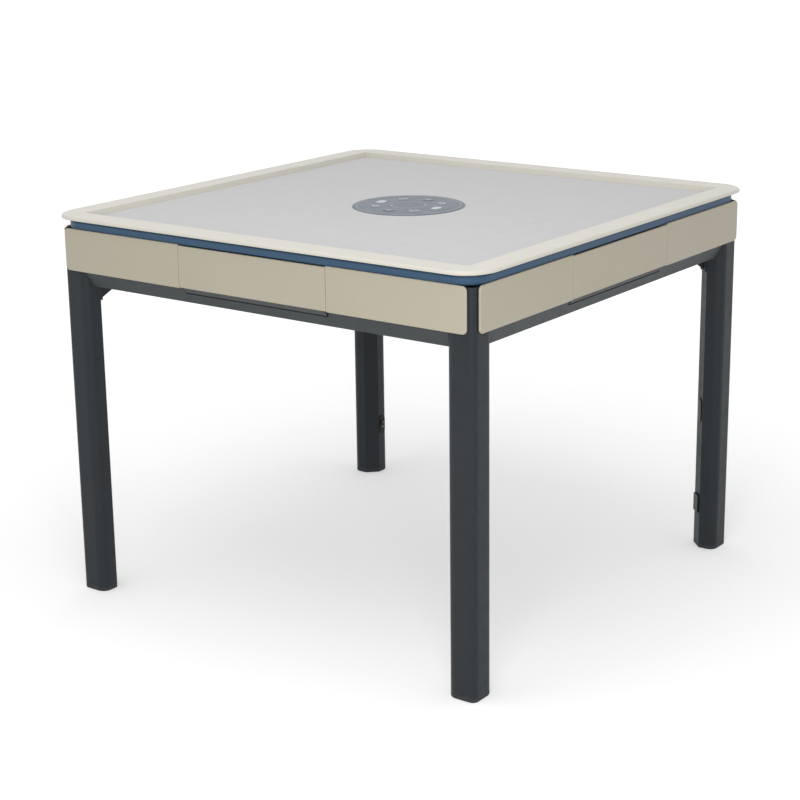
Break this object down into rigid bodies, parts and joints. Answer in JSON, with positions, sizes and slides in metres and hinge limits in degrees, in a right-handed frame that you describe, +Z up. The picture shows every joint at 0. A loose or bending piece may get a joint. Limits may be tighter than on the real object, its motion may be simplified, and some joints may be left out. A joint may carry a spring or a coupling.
{
  "type": "automatic mahjong table",
  "caption": "Square automatic mahjong table on straight legs, with a raised rim, flush tile lifts, side drawers, a rising centre console and a shuffling turntable inside.",
  "frame": {"origin": "on the floor, under the middle of the table", "axes": "+Z up, the front side faces -Y, the switch is on the leg at -X +Y"},
  "size_m": [0.98, 0.98, 0.76],
  "materials": {
    "slate_paint": "satin dark slate paint",
    "foot_plastic": "matt dark foot cap",
    "frame_steel": "grey primer",
    "panel_beige": "satin champagne beige",
    "rim_cream": "satin cream moulding",
    "trim_blue": "brushed, anodised steel blue",
    "deck_wood": "plain board",
    "grey_cloth": "short-napped light grey cloth",
    "cover_slate": "fine-textured slate",
    "bright_steel": "plain steel",
    "tub_grey": "moulded grey",
    "gear_nylon": "white nylon",
    "motor_dark": "dark painted can",
    "board_green": "circuit board green",
    "supply_metal": "plain folded sheet",
    "black_plastic": "matt black",
    "tray_dark": "moulded dark grey",
    "lift_grey": "moulded light grey",
    "console_slate": "satin slate blue",
    "key_white": "pale gloss",
    "key_grey": "light grey gloss",
    "key_slate": "slate blue gloss",
    "clear_window": "tinted clear window",
    "dice_white": "ivory gloss"
  },
  "bodies": {
    "frame": {"bottom_cover": "cover_slate", "chassis_plate": "frame_steel", "column_guide": "bright_steel", "console_motor": "motor_dark", "control_board": "board_green", "corner_brackets": "slate_paint", "cover_screws": "bright_steel", "deck_board": "deck_wood", "drawer_runners": "bright_steel", "foot_caps": "foot_plastic", "leg_back_left": "slate_paint", "leg_back_right": "slate_paint", "leg_front_left": "slate_paint", "leg_front_right": "slate_paint", "leg_plug": "black_plastic", "lift_guide_rods": "bright_steel", "lift_motors": "motor_dark", "lower_frame": "frame_steel", "mains_gland": "black_plastic", "playing_cloth": "grey_cloth", "power_supply": "supply_metal", "shuffle_motor": "motor_dark", "shuffle_tub": "tub_grey", "side_panels": "panel_beige", "switch_bezel": "black_plastic", "top_rim": "rim_cream", "trim_corners": "trim_blue", "trim_strips": "trim_blue", "upper_rails": "frame_steel"},
    "console": {"console_disc": "console_slate", "dice_window": "clear_window", "dice": "dice_white"},
    "screw": {"lift_screw": "bright_steel"},
    "turntable": {"turntable": "tub_grey"},
    "shuffle_pinion": {"shuffle_pinion": "gear_nylon"},
    "rocker": {"switch_rocker": "black_plastic"},
    "drawer_front": {"drawer_front_front": "panel_beige", "drawer_tray_front": "tray_dark"},
    "lift_front": {"tile_lift_front": "lift_grey"},
    "pinion_front": {"lift_pinion_front": "gear_nylon"},
    "drawer_right": {"drawer_front_right": "panel_beige", "drawer_tray_right": "tray_dark"},
    "lift_right": {"tile_lift_right": "lift_grey"},
    "pinion_right": {"lift_pinion_right": "gear_nylon"},
    "drawer_back": {"drawer_front_back": "panel_beige", "drawer_tray_back": "tray_dark"},
    "lift_back": {"tile_lift_back": "lift_grey"},
    "pinion_back": {"lift_pinion_back": "gear_nylon"},
    "drawer_left": {"drawer_front_left": "panel_beige", "drawer_tray_left": "tray_dark"},
    "lift_left": {"tile_lift_left": "lift_grey"},
    "pinion_left": {"lift_pinion_left": "gear_nylon"},
    "key_1": {"console_key_1": "key_white"},
    "key_2": {"console_key_2": "key_grey"},
    "key_3": {"console_key_3": "key_slate"},
    "key_4": {"console_key_4": "key_grey"},
    "key_5": {"console_key_5": "key_white"},
    "key_6": {"console_key_6": "key_grey"},
    "key_7": {"console_key_7": "key_slate"},
    "key_8": {"console_key_8": "key_grey"}
  },
  "joints": [
    {"name": "drawer_front_slide", "type": "slide", "parent": "frame", "child": "drawer_front", "axis": [0, -1, 0], "range_m": [0, 0.09]},
    {"name": "lift_front_slide", "type": "slide", "parent": "frame", "child": "lift_front", "axis": [0, 0, 1], "range_m": [-0.048, 0]},
    {"name": "pinion_front_turn", "type": "hinge", "parent": "frame", "child": "pinion_front", "pos_m": [0, -0.2894, 0.682], "axis": [1, 0, 0], "range_deg": [0, 197.4]},
    {"name": "drawer_right_slide", "type": "slide", "parent": "frame", "child": "drawer_right", "axis": [1, 0, 0], "range_m": [0, 0.09]},
    {"name": "lift_right_slide", "type": "slide", "parent": "frame", "child": "lift_right", "axis": [0, 0, 1], "range_m": [-0.048, 0]},
    {"name": "pinion_right_turn", "type": "hinge", "parent": "frame", "child": "pinion_right", "pos_m": [0.2894, 0, 0.682], "axis": [0, 1, 0], "range_deg": [0, 197.4]},
    {"name": "drawer_back_slide", "type": "slide", "parent": "frame", "child": "drawer_back", "axis": [0, 1, 0], "range_m": [0, 0.09]},
    {"name": "lift_back_slide", "type": "slide", "parent": "frame", "child": "lift_back", "axis": [0, 0, 1], "range_m": [-0.048, 0]},
    {"name": "pinion_back_turn", "type": "hinge", "parent": "frame", "child": "pinion_back", "pos_m": [0, 0.2894, 0.682], "axis": [-1, 0, 0], "range_deg": [0, 197.4]},
    {"name": "drawer_left_slide", "type": "slide", "parent": "frame", "child": "drawer_left", "axis": [-1, 0, 0], "range_m": [0, 0.09]},
    {"name": "lift_left_slide", "type": "slide", "parent": "frame", "child": "lift_left", "axis": [0, 0, 1], "range_m": [-0.048, 0]},
    {"name": "pinion_left_turn", "type": "hinge", "parent": "frame", "child": "pinion_left", "pos_m": [-0.2894, 0, 0.682], "axis": [0, -1, 0], "range_deg": [0, 197.4]},
    {"name": "console_lift", "type": "slide", "parent": "frame", "child": "console", "axis": [0, 0, 1], "range_m": [0, 0.05]},
    {"name": "screw_turn", "type": "hinge", "parent": "frame", "child": "screw", "pos_m": [0, 0, 0.68], "axis": [0, 0, 1], "range_deg": [0, 725]},
    {"name": "key_1_press", "type": "slide", "parent": "console", "child": "key_1", "axis": [0, 0, 1], "range_m": [-0.0015, 0], "stiffness_N_per_m": 400, "springref_m": 0.001},
    {"name": "key_2_press", "type": "slide", "parent": "console", "child": "key_2", "axis": [0, 0, 1], "range_m": [-0.0015, 0], "stiffness_N_per_m": 400, "springref_m": 0.001},
    {"name": "key_3_press", "type": "slide", "parent": "console", "child": "key_3", "axis": [0, 0, 1], "range_m": [-0.0015, 0], "stiffness_N_per_m": 400, "springref_m": 0.001},
    {"name": "key_4_press", "type": "slide", "parent": "console", "child": "key_4", "axis": [0, 0, 1], "range_m": [-0.0015, 0], "stiffness_N_per_m": 400, "springref_m": 0.001},
    {"name": "key_5_press", "type": "slide", "parent": "console", "child": "key_5", "axis": [0, 0, 1], "range_m": [-0.0015, 0], "stiffness_N_per_m": 400, "springref_m": 0.001},
    {"name": "key_6_press", "type": "slide", "parent": "console", "child": "key_6", "axis": [0, 0, 1], "range_m": [-0.0015, 0], "stiffness_N_per_m": 400, "springref_m": 0.001},
    {"name": "key_7_press", "type": "slide", "parent": "console", "child": "key_7", "axis": [0, 0, 1], "range_m": [-0.0015, 0], "stiffness_N_per_m": 400, "springref_m": 0.001},
    {"name": "key_8_press", "type": "slide", "parent": "console", "child": "key_8", "axis": [0, 0, 1], "range_m": [-0.0015, 0], "stiffness_N_per_m": 400, "springref_m": 0.001},
    {"name": "turntable_spin", "type": "hinge", "parent": "frame", "child": "turntable", "pos_m": [0, 0, 0.688], "axis": [0, 0, 1], "continuous": true},
    {"name": "shuffle_pinion_spin", "type": "hinge", "parent": "frame", "child": "shuffle_pinion", "pos_m": [0, 0.1975, 0.68], "axis": [0, 0, 1], "continuous": true},
    {"name": "rocker_tilt", "type": "hinge", "parent": "frame", "child": "rocker", "pos_m": [-0.415, 0.44925, 0.116], "axis": [0, -1, 0], "range_deg": [0, 16]}
  ],
  "couplings": [
    {"joint": "pinion_front_turn", "follows": "lift_front_slide", "rad_per_m": -71.429},
    {"joint": "pinion_right_turn", "follows": "lift_right_slide", "rad_per_m": -71.429},
    {"joint": "pinion_back_turn", "follows": "lift_back_slide", "rad_per_m": -71.429},
    {"joint": "pinion_left_turn", "follows": "lift_left_slide", "rad_per_m": -71.429},
    {"joint": "screw_turn", "follows": "console_lift", "rad_per_m": 251.33},
    {"joint": "shuffle_pinion_spin", "follows": "turntable_spin", "ratio": -7.7778}
  ]
}
